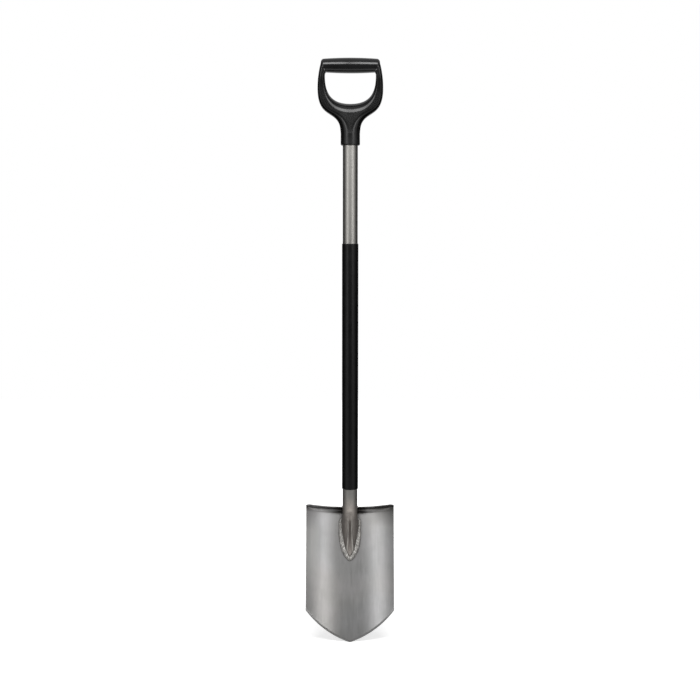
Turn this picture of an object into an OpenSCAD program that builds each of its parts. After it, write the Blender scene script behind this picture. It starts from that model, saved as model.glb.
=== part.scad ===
// Pointed spade: a dished steel blade with folded foot treads, a steel tube
// shaft whose lower end is pressed into a tongue and welded to the blade,
// a plastic sleeve over the shaft and a moulded D handle.
// X runs across the blade, the hollow face looks along -Y and Z is up. The origin
// is at the underside of the grip bar, where a wall hook carries the spade.

/* [Blade] */
// Width of the blade at its foot treads
blade_w = 193; // [160:1:220]
// Width of the blade at the shoulders, where the point starts
shoulder_w = 189; // [150:1:215]
// Length along the blade from the treads to the point
blade_l = 289; // [240:1:330]
// Height of the point, from the shoulders down to where its edges would meet
point_h = 64.2; // [40:1:90]
// Radius of the curved cutting edges of the point
point_r = 200; // [130:1:300]
// Rounding of the point's tip
tip_round = 2; // [1:0.1:4]
// Width of the bevel ground along the point's edges
bevel_w = 3.6; // [2:0.1:5]
// Depth of that bevel at the edge, from the blade's face
bevel_depth = 1; // [0.5:0.1:1.4]
// Thickness of the blade's sheet
sheet_t = 2; // [1.5:0.1:3]
// Depth of the hollow pressed across the blade
dish_depth = 28; // [18:1:34]
// Width of the foot treads, from the blade's face
tread_w = 20; // [14:0.5:24]
// Inside radius of the fold between a tread and the blade
fold_r = 6; // [3:0.5:8]
// Corner radius of the treads, seen from above
tread_corner_r = 14; // [6:0.5:16]
// Corner radius of the blade's upper corners, seen from the front
blade_corner_r = 4; // [2:0.5:8]
// Lean of the blade away from the upright, its point forwards
blade_tilt = 20; // [10:1:25]

/* [Shaft] */
// Outer diameter of the shaft tube
tube_d = 32.5; // [28:0.5:36]
// Wall of the shaft tube
tube_wall = 1.5; // [1:0.1:2.5]
// Length from the end of the bend to the axis of the grip bar
shaft_l = 918; // [700:1:1100]
// Lean of the shaft towards the front
shaft_lean = 5.5; // [2:0.5:8]
// Radius of the bend above the blade, at the tube's axis
bend_r = 126; // [100:1:200]

/* [Tongue] */
// Distance from the treads down to the start of the pressed tongue
tongue_drop = 15; // [12:0.5:24]
// Length of the pressed tongue
tongue_l = 92; // [80:1:120]
// Widest width of the tongue, at its foot on the blade
tongue_w = 38.5; // [36:0.5:43]
// Thickness of the tongue near its tip
tongue_t = 4.5; // [3.5:0.1:6]
// Depth of the groove pressed down the middle of the tongue
groove_depth = 5; // [2:0.5:7]
// Width over the welds on both sides of the tongue
weld_w = 48.5; // [46:0.5:51]
// Length of the weld below the tongue's tip
weld_nose = 9; // [6:0.5:12]
// Height of the welds on the blade
weld_h = 2.4; // [1.5:0.1:3]

/* [Sleeve] */
// Length of the plastic sleeve on the shaft
sleeve_l = 539; // [300:1:560]
// Wall of the plastic sleeve
sleeve_wall = 1.4; // [1:0.1:2.5]
// Radius on the sleeve's ends
sleeve_round = 1.2; // [0.5:0.1:1.2]

/* [Handle] */
// Overall width of the D handle
handle_w = 140.5; // [125:0.5:160]
// Width of the opening for the hand
opening_w = 108.6; // [96:0.2:114]
// Height of the opening, from the axis of the grip bar down
opening_h = 80.5; // [72:0.5:88]
// Diameter of the grip bar at its middle
bar_d = 32.8; // [28:0.2:36]
// Diameter of the grip bar at its ends
bar_end_d = 28.8; // [25:0.2:30]
// Depth of the handle's arms, front to back
arm_depth = 26; // [22:0.5:30]
// Width of the rounded rim along the arms' inner sides
rim_w = 5; // [3:0.5:7]
// Height of the hollow for the palm below the opening
palm_h = 19.3; // [14:0.1:24]
// Height of the neck's lower end, from the axis of the grip bar down
neck_h = 144; // [135:0.5:155]
// Length of the round socket below the neck
socket_l = 25; // [20:0.5:40]
// Outer diameter of the round socket
socket_d = 41.5; // [40:0.1:46]
// Diameter of the screw that holds the handle
screw_d = 4; // [3:0.1:5]

/* [Hidden] */
$fn = 64;

seat_gap = 0.1;                 // between pieces that rest on each other
tread_gap = 0.3;                // between the fold of the sheet and the tube in its notch
weld_gap = 0.1;                 // round the welds, which lie in the notch beside the tube
socket_gap = 0.15;              // round the tube in the handle's socket
tube_r = tube_d / 2;
lift = blade_tilt + shaft_lean; // angle between the blade and the shaft
dish_r = (pow(blade_w / 2, 2) + pow(dish_depth, 2)) / (2 * dish_depth);
fold_drop = sheet_t + fold_r;   // how far the fold reaches down from the treads
tube_axis = seat_gap + tube_r;  // height of the tube's axis over the blade's face
bend_y = -(tube_axis + bend_r); // centre of the bend, seen from the blade
sleeve_r = tube_r + seat_gap + sleeve_wall;
tube_inset = 22;                // how far the tube passes up into the neck
tube_l = shaft_l - neck_h + tube_inset;
screw_h = shaft_l - neck_h - socket_l / 2;

// Where the blade stands under the grip bar, whose underside is at the origin
blade_y = -bend_y * cos(blade_tilt) + tongue_drop * sin(blade_tilt) - bend_r * cos(shaft_lean)
          + shaft_l * sin(shaft_lean);
blade_z = bar_d / 2 + bend_y * sin(blade_tilt) + tongue_drop * cos(blade_tilt)
          - bend_r * sin(shaft_lean) - shaft_l * cos(shaft_lean);

steel = [0.62, 0.61, 0.59];
coated_steel = [0.45, 0.43, 0.40];
weld_metal = [0.55, 0.53, 0.50];
black_plastic = [0.09, 0.09, 0.10];

// Frames: the blade's face centre at the treads, and the shaft's axis above the bend
module on_blade() {
  translate([0, blade_y, blade_z]) rotate([-blade_tilt, 0, 0]) children();
}
module on_shaft() {
  on_blade() translate([0, bend_y, -tongue_drop]) rotate([lift, 0, 0])
    translate([0, bend_r, 0]) children();
}
module on_handle() {
  on_shaft() translate([0, 0, shaft_l]) children();
}

function smooth(a, b, x) = let (t = min(1, max(0, (x - a) / (b - a)))) t * t * (3 - 2 * t);
function mix(a, b, t) = a + (b - a) * t;
function bezier(p, t) = pow(1 - t, 3) * p[0] + 3 * t * pow(1 - t, 2) * p[1]
                        + 3 * t * t * (1 - t) * p[2] + pow(t, 3) * p[3];
// Points on a circle from angle a to angle b
function arc(centre, r, a, b, n) =
  [for (i = [0 : n]) let (t = mix(a, b, i / n)) centre + r * [cos(t), sin(t)]];
// Height of the blade's hollow face over its middle, at a distance x from it
function dish(x) = dish_r - sqrt(dish_r * dish_r - x * x);

// A solid through rings of points, each with as many points, closed at both ends
module loft(rings) {
  n = len(rings[0]);
  last = len(rings) - 1;
  polyhedron(
    points = [for (ring = rings) each ring],
    faces = concat(
      [for (k = [0 : last - 1], i = [0 : n - 1])
        let (j = (i + 1) % n) each [[k * n + i, k * n + j, (k + 1) * n + j],
                                    [k * n + i, (k + 1) * n + j, (k + 1) * n + i]]],
      [for (end = [0, last], i = [0 : floor(n / 2) - 2 + n % 2])
        let (a = i, b = i + 1, c = n - 2 - i, d = n - 1 - i,
             halves = b == c ? [[a, b, d]] : [[a, b, c], [a, c, d]])
        each [for (f = halves) [for (k = end == 0 ? [2, 1, 0] : [0, 1, 2]) end * n + f[k]]]]),
    convexity = 8);
}

// The cutting edge: two arcs that would meet in a sharp point, with a rounded tip
point_chord = sqrt(pow(shoulder_w / 2, 2) + pow(point_h, 2));
point_angle = -90 + atan2(point_h, shoulder_w / 2) - asin(point_chord / 2 / point_r);
edge_centre = -point_r * cos(point_angle);
function edge_rise(x) =
  sqrt(point_r * point_r - edge_centre * edge_centre) - sqrt(point_r * point_r - pow(x - edge_centre, 2));
function edge_z(x) = edge_rise(sqrt(x * x + tip_round * tip_round)) - edge_rise(tip_round) - blade_l;

// The blade's front outline, with rounded upper corners
module blade_outline() {
  right = concat(
    [for (k = [0 : 24]) let (x = shoulder_w / 2 * pow(k / 24, 1.3)) [x, edge_z(x)]],
    arc([blade_w / 2 - blade_corner_r, -blade_corner_r], blade_corner_r, 0, 90, 6));
  polygon(concat(right, [for (i = [len(right) - 1 : -1 : 1]) [-right[i][0], right[i][1]]]));
}

// What the grinding of the bevel takes off: a three-sided strip along the cutting edge. Its plane
// runs from the blade's face, a bevel's width from the edge, to the edge, a bevel's depth down.
function edge_place(x) = [x, -dish(x), edge_z(x)];
function bevel_ring(x) =
  let (edge = edge_place(x), along = edge_place(x + 0.1) - edge_place(x - 0.1),
       up = [-x / dish_r, dish(x) / dish_r - 1, 0], inwards = cross(up, along / norm(along)),
       high = edge + inwards * bevel_w, low = edge - up * bevel_depth,
       slope = (high - low) / norm(high - low))
  [high + slope, low - slope, edge + 2 * up - 2 * inwards];
module bevel_cut() {
  reach = shoulder_w / 2 + 3;
  loft([for (k = [-24 : 24]) let (q = k / 24) bevel_ring(reach * sign(q) * pow(abs(q), 1.3))]);
}

// Section of the sheet: the tread, the fold and the wall of the blade
past_point = 5;                 // how far the wall runs on before the outline is cut
module sheet_section() {
  translate([dish_r - tread_w, -sheet_t]) square([tread_w - fold_r, sheet_t]);
  translate([dish_r, -blade_l - past_point]) square([sheet_t, blade_l + past_point - fold_drop]);
  translate([dish_r - fold_r, -fold_drop]) intersection() {
    difference() {
      circle(r = fold_drop);
      circle(r = fold_r);
    }
    square(fold_drop);
  }
}

// What rounds off the outer front corner of a tread, seen from above
module tread_corner() {
  translate([blade_w / 2 - tread_corner_r, -dish_depth - tread_w, -fold_drop])
    linear_extrude(fold_drop + 1) difference() {
      translate([0, -tread_w / 2]) square([tread_corner_r + 1, tread_corner_r + tread_w / 2]);
      translate([0, tread_corner_r]) circle(r = tread_corner_r);
    }
}

// The tube's round part, from the start of the tongue to the length given
module tube_path(r, length) {
  on_shaft() {
    cylinder(r = r, h = length);
    translate([0, -bend_r, 0]) rotate([90, 0, 90])
      rotate_extrude(angle = lift, start = -lift) translate([bend_r, 0]) circle(r = r);
  }
}

// The notch that the tube passes through, from the front of the treads back to the Y given
notch_w = 2.8;                  // room for the welds between the tube and the treads
module tube_notch(r, back) {
  front = tube_axis + tube_d;
  intersection() {
    tube_path(r, tube_r);
    on_blade() translate([-tube_d, -front, -fold_drop]) cube([2 * tube_d, front + back, fold_drop + 1]);
  }
}

module blade() {
  behind = 2 * sheet_t;
  color(steel) difference() {
    on_blade() difference() {
      intersection() {
        translate([0, -dish_r, 0]) rotate_extrude(angle = 90, start = 45) sheet_section();
        rotate([90, 0, 0]) translate([0, 0, -behind])
          linear_extrude(behind + dish_depth + tread_w + 1) blade_outline();
      }
      tread_corner();
      mirror([1, 0, 0]) tread_corner();
      bevel_cut();
    }
    tube_notch(tube_r + tread_gap, sheet_t + 1);
    tube_notch(tube_r + notch_w, -fold_r);
  }
}

// The tongue: half width, height and groove at a distance s down from its start
foot_from = 12;                 // where the tongue is widest
sunk = 0.03;                    // how far the tongue lies inside the tube where they join
function tongue_half(s) =
  s < foot_from ? mix(tube_r - sunk, tongue_w / 2, smooth(0, foot_from, s))
  : tongue_w / 2 * pow(max(0.002, 1 - pow((s - foot_from) / (tongue_l - foot_from), 1.7)), 0.7);
function tongue_height(s) =
  tongue_t + (tube_d - 2 * sunk - tongue_t) * pow(1 - max(0, s / tongue_l), 1.15);
function tongue_low(s) = mix(1, tube_r - sunk, 1 - smooth(0, 1.4 * foot_from, s));
function groove(s, x) =
  let (d = min(groove_depth * smooth(-2, 26, s), 0.5 * tongue_height(s)),
       w = mix(2.8, 5, smooth(0.75, 0.98, s / tongue_l)))
  d * exp(-pow(x / w, 2));
function tongue_ring(s, n) =
  let (half = tongue_half(s), low = tongue_low(s), up = tongue_height(s) - low)
  [for (i = [0 : n - 1])
    let (a = -360 * i / n, x = half * cos(a),
         y = sin(a) >= 0 ? low + up * pow(sin(a), mix(1, 1.3, smooth(0, 30, s)))
                           - groove(s, x) * min(1, 3 * sin(a))
                         : low + low * sin(a),
         rise = dish(x) * smooth(0, foot_from, s))
    [x, -(y + rise + seat_gap + sunk), -tongue_drop - s]];

tongue_sides = 56;
tongue_steps = [for (k = [0 : 22]) 1 - pow(1 - k / 22, 1.3)];
module tongue() {
  on_blade() loft(concat([tongue_ring(-1, tongue_sides)],
                         [for (q = tongue_steps) tongue_ring(q * tongue_l, tongue_sides)]));
}

module shaft_tube() {
  color(coated_steel) difference() {
    union() {
      tube_path(tube_r, tube_l);
      tongue();
    }
    tube_path(tube_r - tube_wall, tube_l + 1);
    on_shaft() translate([0, tube_r + 1, screw_h]) rotate([90, 0, 0])
      cylinder(d = screw_d + 0.2, h = tube_r, $fn = 32);
  }
}

// One run of weld down an edge of the tongue to its tip. It fills the band between the
// tongue's foot and an outline that runs straight down and then closes round the tip.
weld_from = 7;                  // where the welds start, down from the start of the tongue
weld_turn = 40;                 // where their outlines start to close
weld_steps = 30;
straight_steps = 7;
function weld_outer(k) =
  let (f = 90 * (k - straight_steps) / (weld_steps - straight_steps))
  k < straight_steps ? [weld_w / 2, mix(weld_from, weld_turn, k / straight_steps)]
  : [weld_w / 2 * cos(f), mix(weld_turn, tongue_l + weld_nose, sin(f))];
function weld_inner(k) =
  let (s = weld_outer(k)[1] * tongue_l / (tongue_l + weld_nose), last = k == weld_steps)
  [last ? 0 : tongue_half(s) + 2 * seat_gap, s + (last ? 2 * seat_gap : 0)];
module tongue_weld(side) {
  rings = [for (k = [0 : weld_steps])
    let (inner = weld_inner(k), start = smooth(-1, 3, k),
         outer = mix(inner, weld_outer(k), mix(0.3, 1, start)),
         lump = 1 + 0.12 * sin(k * 83) + 0.08 * sin(k * 151 + 40),
         high = weld_h * lump * mix(0.4, 1, start))
    [for (a = [0 : 30 : 180])
      let (q = mix(inner, outer, 0.5 - 0.5 * cos(a)), x = max(0, q[0]))
      [x, -(dish(x) + 0.05 + high * sin(a)), -tongue_drop - q[1]]]];
  color(weld_metal) on_blade() mirror([side < 0 ? 1 : 0, 0, 0]) loft(rings);
}

// A short run of weld in the notch between the inner end of a tread and the tube. Its
// crown climbs up the tube, and angle a turns round the tube from the fold to the front.
crown_h = 2.2;                  // height of the crown above the tread
function bend_place(z) = bend_y + sqrt(pow(bend_r, 2) - pow(z + tongue_drop, 2));
module tread_weld(side) {
  inner = tube_r + weld_gap;
  w = notch_w - 2 * weld_gap;
  section = [[0, -sheet_t], [0, crown_h], [0.25 * w, 0.8 * crown_h], [0.6 * w, 0.35 * crown_h],
             [w, 0], [w, -sheet_t]];
  rings = [for (a = [34 : -4 : -10])
    [for (p = section)
      let (d = inner + p[0])
      [d * cos(a), bend_place(p[1]) + d * sin(a) / cos(lift / 4), p[1]]]];
  color(weld_metal) on_blade() mirror([side < 0 ? 1 : 0, 0, 0]) loft(rings);
}

module shaft_sleeve() {
  inner = tube_r + seat_gap;
  color(black_plastic) on_shaft() rotate_extrude() difference() {
    translate([inner, 0]) square([sleeve_wall, sleeve_l]);
    for (end = [0, 1]) translate([sleeve_r - sleeve_round, end * sleeve_l])
      mirror([0, end]) difference() {
        translate([0, -1]) square([sleeve_round + 1, sleeve_round + 1]);
        translate([0, sleeve_round]) circle(r = sleeve_round);
      }
  }
}

// The D handle, seen from the front, as distances from the middle of the grip bar
socket_r = socket_d / 2;
neck_r = socket_r - 0.04;        // the neck runs just inside the socket where they join
neck_overlap = 0.5;
inner_top = [[opening_w / 2 - 5, -12], [opening_w / 2 - 1, -15],
             [opening_w / 2, -17], [opening_w / 2, -22]];
inner_bottom = [[opening_w / 2, -22], [opening_w / 2, -opening_h * 0.74],
                [opening_w * 0.37, -opening_h], [0, -opening_h]];
crease_x = opening_w / 2 + rim_w;
crease_bottom = [[crease_x, -22], [crease_x, -opening_h * 0.87],
                 [crease_x * 0.71, -opening_h - palm_h], [0, -opening_h - palm_h]];
outer_top = [[handle_w / 2 - 7.7, 8], [handle_w / 2 - 3.7, -4],
             [handle_w / 2, -26], [handle_w / 2, -42]];
outer_bottom = [[handle_w / 2, -42], [handle_w / 2 + 3.2, -42 - 79.5],
                [neck_r, -neck_h + 57], [neck_r, -neck_h]];

// A spoke runs from the edge of the opening, over the crease round it, to the handle's
// outline; t goes from 0 at the bar to 1 at the middle of the neck
neck_from = 0.8;                // where spokes start to end on the neck's lower end
top_share = 0.16;               // share of the spokes on the upper part of the arm
function spoke_in(t) =
  t < top_share ? bezier(inner_top, t / top_share)
                : bezier(inner_bottom, (t - top_share) / (1 - top_share));
function spoke_crease(t) =
  t < top_share ? spoke_in(t) + [rim_w, 0]
                : bezier(crease_bottom, (t - top_share) / (1 - top_share));
function spoke_out(t) =
  t < top_share ? bezier(outer_top, t / top_share)
  : t < neck_from ? bezier(outer_bottom, (t - top_share) / (neck_from - top_share))
                  : [neck_r * (1 - (t - neck_from) / (1 - neck_from)), -neck_h];

// Half depth of the handle at a place: a flat front, outer edges whose rounding grows until
// the neck is round, and a hollow from the crease, where q is 1, down to the opening's edge
edge_half = 0.4;                // half the land left along the parting line
edge_r = 6;                     // rounding of the arms' outer edges
round_from = -78;               // height where the rounding starts to grow
flat_to = -92;                  // height where the flat front starts to swell into the neck
outline = concat([for (k = [0 : 7]) bezier(outer_top, k / 8)],
                 [for (k = [0 : 40]) bezier(outer_bottom, k / 40)], [[neck_r, -neck_h - socket_d]]);
function to_segment(p, a, b) =
  let (q = max(0, min(1, (p - a) * (b - a) / ((b - a) * (b - a))))) norm(p - mix(a, b, q));
function to_outline(p) = min([for (k = [0 : len(outline) - 2]) to_segment(p, outline[k], outline[k + 1])]);
function quarter(q) = sqrt(max(0, 1 - pow(1 - min(1, q), 2)));
function half_depth(t, q, p) =
  let (face = mix(arm_depth / 2, neck_r, smooth(flat_to, -neck_h, p[1])),
       side = face * quarter(to_outline(p) / mix(edge_r, neck_r, smooth(round_from, -neck_h, p[1]))),
       hollow = face * mix(quarter(q), pow(q, 0.65), smooth(top_share, neck_from, t)))
  max(edge_half, min(hollow, side));

spokes = 32;
function handle_ring(t, side) =
  let (hollow = [for (k = [0 : 6]) let (q = 1 - cos(90 * k / 6)) [mix(spoke_in(t), spoke_crease(t), q), q]],
       front = [for (k = [1 : 7]) [mix(spoke_crease(t), spoke_out(t), sin(90 * k / 7)), 1]],
       half = [for (s = concat(hollow, front)) [s[0][0], half_depth(t, s[1], s[0]), s[0][1]]])
  concat([for (p = half) [side * p[0], -p[1], p[2]]],
         [for (k = [len(half) - 1 : -1 : 0]) [side * half[k][0], half[k][1], half[k][2]]]);

module handle_body() {
  loft(concat([for (k = [0 : spokes]) handle_ring(k / spokes, 1)],
              [for (k = [spokes - 1 : -1 : 0]) handle_ring(k / spokes, -1)]));
}

// The grip bar: a barrel with rounded ends
bar_l = handle_w - 14;
bar_round = 7;
bar_bulge = (bar_d - bar_end_d) / 2;
bar_curve = (pow(bar_l / 2 - bar_round, 2) + pow(bar_bulge, 2)) / (2 * bar_bulge);
module grip_bar() {
  turn = asin((bar_l / 2 - bar_round) / bar_curve);
  rotate([0, 90, 0]) rotate_extrude() polygon(concat(
    [[0, -bar_l / 2]],
    arc([bar_end_d / 2 - bar_round, -bar_l / 2 + bar_round], bar_round, -90, 0, 6),
    [for (a = [-0.8 * turn : 0.2 * turn : 0.81 * turn])
      [bar_d / 2 - bar_curve, 0] + bar_curve * [cos(a), sin(a)]],
    arc([bar_end_d / 2 - bar_round, bar_l / 2 - bar_round], bar_round, 0, 90, 6),
    [[0, bar_l / 2]]));
}

// The round socket, whose lower edge has a chamfer
socket_chamfer = 2;
module socket() {
  translate([0, 0, -neck_h - socket_l]) {
    cylinder(r1 = socket_r - socket_chamfer, r2 = socket_r, h = socket_chamfer);
    translate([0, 0, socket_chamfer])
      cylinder(r = socket_r, h = socket_l - socket_chamfer + neck_overlap);
  }
}

module d_handle() {
  color(black_plastic) on_handle() difference() {
    union() {
      grip_bar();
      handle_body();
      socket();
    }
    translate([0, 0, -neck_h - socket_l - 1])
      cylinder(r = tube_r + socket_gap, h = socket_l + tube_inset + 2);
    translate([0, 0, -neck_h - socket_l / 2]) rotate([-90, 0, 0]) screw_hole();
  }
}

// A pan head screw, driven in from the back of the socket and sunk flush with it
screw_head_h = 2.2;
screw_reach = 4;                // how far the screw's tip passes the tube's wall
screw_seat = socket_r - screw_head_h - 0.3;
module screw_hole() {
  cylinder(r = screw_d / 2 + seat_gap, h = screw_seat + 1, $fn = 32);
  translate([0, 0, screw_seat]) cylinder(r = screw_d + 2 * seat_gap, h = 4, $fn = 32);
}

module handle_screw() {
  tip = tube_r - tube_wall - screw_reach;
  color(steel) on_handle() translate([0, 0, -neck_h - socket_l / 2]) rotate([-90, 0, 0])
    difference() {
      union() {
        translate([0, 0, tip]) cylinder(d = screw_d, h = screw_seat - tip + 0.5, $fn = 32);
        translate([0, 0, screw_seat + seat_gap / 2])
          cylinder(r1 = screw_d, r2 = screw_d * 0.7, h = screw_head_h, $fn = 32);
      }
      for (a = [0, 90]) rotate([0, 0, a])
        translate([-screw_d / 2, -screw_d / 10, screw_seat + screw_head_h / 2])
          cube([screw_d, screw_d / 5, screw_head_h]);
    }
}

blade();
shaft_tube();
tongue_weld(-1);  // tongue_weld_left
tongue_weld(1);  // tongue_weld_right
tread_weld(-1);  // tread_weld_left
tread_weld(1);  // tread_weld_right
shaft_sleeve();
d_handle();
handle_screw();
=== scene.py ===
"""Looks of a pointed spade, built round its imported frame: a pressed steel blade with folded treads,
a steel tube whose lower end is a grooved tongue welded to the blade, a black sleeve and a moulded
D handle. Shapes are written in millimetres in the frame of the piece, and each frame's matrix
turns them into metres in the row frame. Materials and the studio are written in metres."""

import math

import bmesh
import bpy
import numpy as np
from mathutils import Matrix, Vector


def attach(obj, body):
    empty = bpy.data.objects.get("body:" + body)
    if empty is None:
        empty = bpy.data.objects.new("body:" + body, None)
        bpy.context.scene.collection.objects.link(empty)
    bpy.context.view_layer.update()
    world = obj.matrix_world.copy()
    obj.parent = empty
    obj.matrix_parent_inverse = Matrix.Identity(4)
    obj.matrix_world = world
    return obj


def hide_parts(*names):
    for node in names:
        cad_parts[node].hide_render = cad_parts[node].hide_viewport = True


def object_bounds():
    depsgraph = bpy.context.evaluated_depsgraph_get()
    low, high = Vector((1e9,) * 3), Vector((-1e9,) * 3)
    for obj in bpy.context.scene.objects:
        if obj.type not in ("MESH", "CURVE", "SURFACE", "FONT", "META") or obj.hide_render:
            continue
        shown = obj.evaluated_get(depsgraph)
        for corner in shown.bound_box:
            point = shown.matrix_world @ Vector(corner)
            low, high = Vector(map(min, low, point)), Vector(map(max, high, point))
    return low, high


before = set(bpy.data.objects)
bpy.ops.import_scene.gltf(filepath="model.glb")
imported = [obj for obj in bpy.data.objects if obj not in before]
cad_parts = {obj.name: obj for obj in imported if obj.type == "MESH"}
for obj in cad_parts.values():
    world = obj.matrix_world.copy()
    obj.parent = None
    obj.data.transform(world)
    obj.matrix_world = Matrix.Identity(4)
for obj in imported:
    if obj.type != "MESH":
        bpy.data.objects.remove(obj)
cad_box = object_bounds()

MM = 0.001
TINY = 1e-12

# Blade
blade_w = 193
shoulder_w = 189
blade_l = 289
point_h = 64.2
point_r = 200
tip_round = 2
sheet_t = 2
dish_depth = 28
tread_w = 20
fold_r = 6
side_fold_r = 0.5
fold_taper = 21
tread_corner_r = 14
least_tread = 1
blade_tilt = 20
edge_round = 0.6
bevel_w = 3.6
bevel_depth = 1.0

# The blade's grid of points. Its columns are closer together in a strip at each side. The steps across
# its rounded edges and its bevel are shares of their widths, and the bevel goes past the sheet's middle
# by bevel_limit of half its thickness at most
side_strip = 10
side_columns = 18
middle_columns = 72
round_steps = np.array([0, 0.1, 0.25, 0.5, 1])
bevel_steps = np.array([1, 0.6, 0.3])
bevel_lead = 0.25
cutting_stretch = 1.2
bevel_limit = 0.7
tread_rows = 13
fold_rows = 14
face_rows = 79
notch_rings = 6

# Shaft
tube_d = 32.5
tube_wall = 1.5
tube_sides = 96
shaft_l = 918
shaft_lean = 5.5
bend_r = 126
bend_rings = 16
straight_rings = 8

# Tongue. It widens down to foot_to, its sides close from foot_from to the tip, and its edges have come
# down to edge_h at edge_to
tongue_drop = 15
tongue_l = 92
tongue_w = 38.5
tongue_t = 4.5
foot_from = 12
foot_to = 30
edge_h = 1
edge_to = 16.8
side_power = 1.7
side_root = 0.7
side_least = 0.002
thinning = 1.15
tongue_rows = 109
tip_crowding = 1.3

# Distances down the tongue over which its crown is drawn in and fills out again, and by what power
crown_in = (0, 40)
crown_out = (55, 80)
crown_power = 1.6

# The groove down the tongue's middle, and how quickly it and the ridges fade at the tongue's edges
groove_depth = 4.2
groove_to = 27
groove_most = 0.5
groove_w = (2.2, 4.5)
groove_widens = (0.6, 0.98)
press_fade = 3

# The ridges beside the groove: sizes in millimetres, and where they part and end as shares of the tongue
ridge_h = 1.7
ridge_w = 1.2
ridge_apart = (4.1, 7.4)
ridge_rise = (4, 22)
ridges_part = (0.4, 0.85)
ridges_end = (0.85, 0.99)

# The weld down each edge of the tongue. It goes straight for a share of its run, then closes round the tip
weld_w = 48.5
weld_nose = 9
weld_h = 2.4
weld_seat = 0.05
weld_from = 7
weld_turn = 40
weld_lap = 0.8
weld_meet = 0.02
weld_straight = 0.23
weld_power = 1.2
weld_points = 300
weld_sections = 17

# Shares of the weld's run over which it starts, closes and meets the other one, and its start's size
weld_start = (-0.02, 0.05)
weld_close = (0.9, 1)
weld_tip = (0.985, 1)
start_width = 0.3
start_height = 0.4

# Marks of the hand in the weld: sizes, as shares or in millimetres, and radians a millimetre of its run
slow_lump = (0.12, 0.42)
quick_lump = (0.1, 0.97)
weld_wander = (0.35, 0.31)
scale_depth = 0.2
scale_pace = 0.85
scale_lean = 0.9

# The weld between each tread and the tube: its crown as shares of its width and height, and the degrees
# round the tube that it covers
notch_w = 2.8
crown_h = 2.2
tread_crown = ((0, 1), (0.12, 0.98), (0.25, 0.82), (0.42, 0.6), (0.6, 0.38), (0.8, 0.2), (1, 0))
tread_weld_turn = (34, -10)
tread_weld_rings = 45
tread_lump = (0.12, 1.5)

# Sleeve
sleeve_l = 539
sleeve_wall = 1.4
sleeve_round = 1.2
sleeve_sides = 128
sleeve_steps = 7

# Handle
handle_w = 140.5
opening_w = 108.6
opening_h = 80.5
arm_depth = 26
neck_h = 144
neck_inset = 0.04
rim_w = 5
edge_half = 0.4
edge_r = 6
round_from = -78
flat_to = -40
swell_start = 0.16

# The palm hollow below the opening, and the shares of the handle's spokes where it starts
palm_h = 19.3
palm_from = 0.3
palm_slope = 0.16
palm_turn = 3.5

# The handle's mesh: spokes from the opening to the outline, and their points in each half
spokes = 150
spoke_points = 22
outline_points = 900
outline_below = range(0, 40, 2)
handle_voxel = 0.65
smooth_factor = 0.5
smooth_passes = 9

# Grip bar
bar_d = 32.8
bar_end_d = 28.8
bar_round = 7
bar_inset = 7
bar_sides = 96
bar_points = 60
bar_end_points = 12

# Socket and screw
socket_l = 25
socket_d = 41.5
socket_chamfer = 2
socket_lap = 0.5
socket_sides = 128
tube_inset = 22
screw_d = 4
screw_head_h = 2.2
head_room = 0.3
hole_sides = 32
sink_sides = 48
sink_reach = 4
cut_past = 1

# Degrees above which an edge between two faces is shaded as a sharp one
plain_sharp = 40
round_sharp = 50
blade_sharp = 32

# Fits and derived sizes. Where the tube passes the treads, it leans by about a quarter of its bend
seat_gap = 0.1
tread_gap = 0.3
weld_gap = 0.1
socket_gap = 0.15
tube_r = tube_d / 2
lift = blade_tilt + shaft_lean
dish_r = ((blade_w / 2) ** 2 + dish_depth**2) / (2 * dish_depth)
fold_drop = sheet_t + fold_r
tube_axis = seat_gap + tube_r
bend_y = -(tube_axis + bend_r)
slant_at_treads = math.cos(math.radians(lift) / 4)
sleeve_r = tube_r + seat_gap + sleeve_wall
tube_l = shaft_l - neck_h + tube_inset
socket_r = socket_d / 2
neck_r = socket_r - neck_inset
lean = math.radians(shaft_lean)
tilt = math.radians(blade_tilt)
blade_y = (-bend_y * math.cos(tilt) + tongue_drop * math.sin(tilt)
           - bend_r * math.cos(lean) + shaft_l * math.sin(lean))
blade_z = (bar_d / 2 + bend_y * math.sin(tilt) + tongue_drop * math.cos(tilt)
           - bend_r * math.sin(lean) - shaft_l * math.cos(lean))

# Outlines of the handle seen from the front, as points of curves measured from the middle of the grip bar.
# The opening's sides are upright at opening_side and the handle's at handle_side. A spoke's share of the
# way round is top_share at these heights, and neck_from where the outline comes to the neck's lower end
opening_side = -22
handle_side = -42
crease_x = opening_w / 2 + rim_w
inner_top = [(opening_w / 2 - 5, -12), (opening_w / 2 - 1, -15), (opening_w / 2, -17),
             (opening_w / 2, opening_side)]
inner_bottom = [(opening_w / 2, opening_side), (opening_w / 2, -opening_h * 0.74),
                (opening_w * 0.37, -opening_h), (0, -opening_h)]
crease_bottom = [(crease_x, opening_side), (crease_x, -opening_h * 0.87),
                 (crease_x * 0.71, -opening_h - palm_h), (0, -opening_h - palm_h)]
outer_top = [(handle_w / 2 - 7.7, 8), (handle_w / 2 - 3.7, -4), (handle_w / 2, -26),
             (handle_w / 2, handle_side)]
outer_bottom = [(handle_w / 2, handle_side), (handle_w / 2 + 3.2, handle_side - 79.5),
                (neck_r, -neck_h + 57), (neck_r, -neck_h)]
top_share = 0.16
neck_from = 0.8


def turn_x(degrees):
    """A turn about X."""
    return Matrix.Rotation(math.radians(degrees), 4, "X")


def shift(x, y, z):
    """A move without a turn."""
    return Matrix.Translation((x, y, z))


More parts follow.
